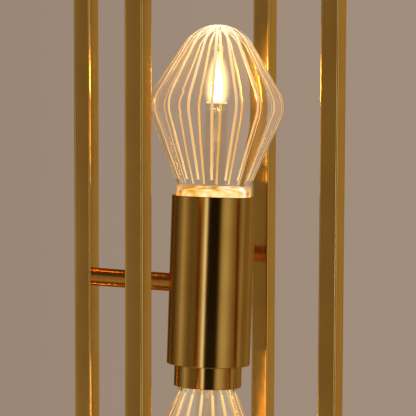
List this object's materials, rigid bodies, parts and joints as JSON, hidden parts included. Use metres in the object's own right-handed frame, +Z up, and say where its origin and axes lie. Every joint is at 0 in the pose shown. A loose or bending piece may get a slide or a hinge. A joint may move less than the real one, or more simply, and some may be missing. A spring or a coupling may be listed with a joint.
{
  "type": "floor lamp",
  "caption": "Tall cage of square brass tube on a round base, with brass holders on side arms, each with a clear engraved diamond-shaped lamp at either end.",
  "frame": {"origin": "centre of the footprint, on the floor under the foot pads", "axes": "+Z up; the two crossing tube frames lie along X and Y, and the arms come from the post at -X"},
  "size_m": [0.3, 0.3, 1.45],
  "materials": {
    "satin_brass": "satin lacquered square tube",
    "turned_brass": "turned, fine lengthwise brushing, lacquered",
    "base_brass": "brass-plated, turned face",
    "zinc_steel": "zinc-plated sheet, nuts and screws",
    "nipple_brass": "raw brass threads and contacts",
    "pad_rubber": "moulded rubber",
    "black_nylon": "moulded nylon",
    "white_nylon": "moulded nylon",
    "porcelain": "glazed porcelain",
    "lead_silicone": "silicone-sheathed leads",
    "fibre": "vulcanised fibre",
    "clear_acrylic": "clear cast acrylic, polished",
    "lit_lens": "frosted lens, lit from below",
    "led_board": "white board with warm diodes under a frosted acrylic ring",
    "bulb_housing": "aluminium housing with a nickel-plated screw cap"
  },
  "bodies": {
    "frame": {"base_plate": "base_brass", "base_cover": "zinc_steel", "cover_screws": "zinc_steel", "foot_pads": "pad_rubber", "terminal_block": "white_nylon", "inlet_bush": "black_nylon", "inlet_nut": "zinc_steel", "post_left": "satin_brass", "post_right": "satin_brass", "post_front": "satin_brass", "post_back": "satin_brass", "post_plugs": "zinc_steel", "post_nipples": "nipple_brass", "post_nuts": "zinc_steel", "top_bar_long": "satin_brass", "top_bars_short": "satin_brass", "arm_blocks": "zinc_steel", "lead_harness": "lead_silicone", "arm_low": "turned_brass", "arm_high": "turned_brass", "hub_washers": "fibre", "hub_nuts": "zinc_steel"},
    "holder_low": {"sleeve_low": "turned_brass", "collar_low": "turned_brass", "carrier_low": "zinc_steel", "lampholder_low_up": "porcelain", "lampholder_low_down": "porcelain", "holder_nuts_low": "zinc_steel", "contacts_low": "nipple_brass", "holder_leads_low": "lead_silicone"},
    "holder_high": {"sleeve_high": "turned_brass", "collar_high": "turned_brass", "carrier_high": "zinc_steel", "lampholder_high_up": "porcelain", "lampholder_high_down": "porcelain", "holder_nuts_high": "zinc_steel", "contacts_high": "nipple_brass", "holder_leads_high": "lead_silicone"},
    "bulb_low_up": {"glass_low_up": "clear_acrylic", "pillar_low_up": "clear_acrylic", "flame_low_up": "lit_lens", "led_board_low_up": "led_board", "bulb_base_low_up": "bulb_housing"},
    "bulb_low_down": {"glass_low_down": "clear_acrylic", "pillar_low_down": "clear_acrylic", "flame_low_down": "lit_lens", "led_board_low_down": "led_board", "bulb_base_low_down": "bulb_housing"},
    "bulb_high_up": {"glass_high_up": "clear_acrylic", "pillar_high_up": "clear_acrylic", "flame_high_up": "lit_lens", "led_board_high_up": "led_board", "bulb_base_high_up": "bulb_housing"},
    "bulb_high_down": {"glass_high_down": "clear_acrylic", "pillar_high_down": "clear_acrylic", "flame_high_down": "lit_lens", "led_board_high_down": "led_board", "bulb_base_high_down": "bulb_housing"}
  },
  "joints": [
    {"name": "swivel_low", "type": "hinge", "parent": "frame", "child": "holder_low", "pos_m": [0.005, 0, 0.425], "axis": [1, 0, 0], "range_deg": [-12, 12]},
    {"name": "swivel_high", "type": "hinge", "parent": "frame", "child": "holder_high", "pos_m": [0.005, 0, 1.04], "axis": [1, 0, 0], "range_deg": [-8.3, 15.7]},
    {"name": "bulb_turn_low_up", "type": "hinge", "parent": "holder_low", "child": "bulb_low_up", "pos_m": [0.005, 0, 0.425], "axis": [0, 0, 1], "continuous": true},
    {"name": "bulb_turn_low_down", "type": "hinge", "parent": "holder_low", "child": "bulb_low_down", "pos_m": [0.005, 0, 0.425], "axis": [0, 0, -1], "continuous": true},
    {"name": "bulb_turn_high_up", "type": "hinge", "parent": "holder_high", "child": "bulb_high_up", "pos_m": [0.005, 0, 1.04], "axis": [0, 0.0645, 0.9979], "continuous": true},
    {"name": "bulb_turn_high_down", "type": "hinge", "parent": "holder_high", "child": "bulb_high_down", "pos_m": [0.005, 0, 1.04], "axis": [0, -0.0645, -0.9979], "continuous": true}
  ]
}
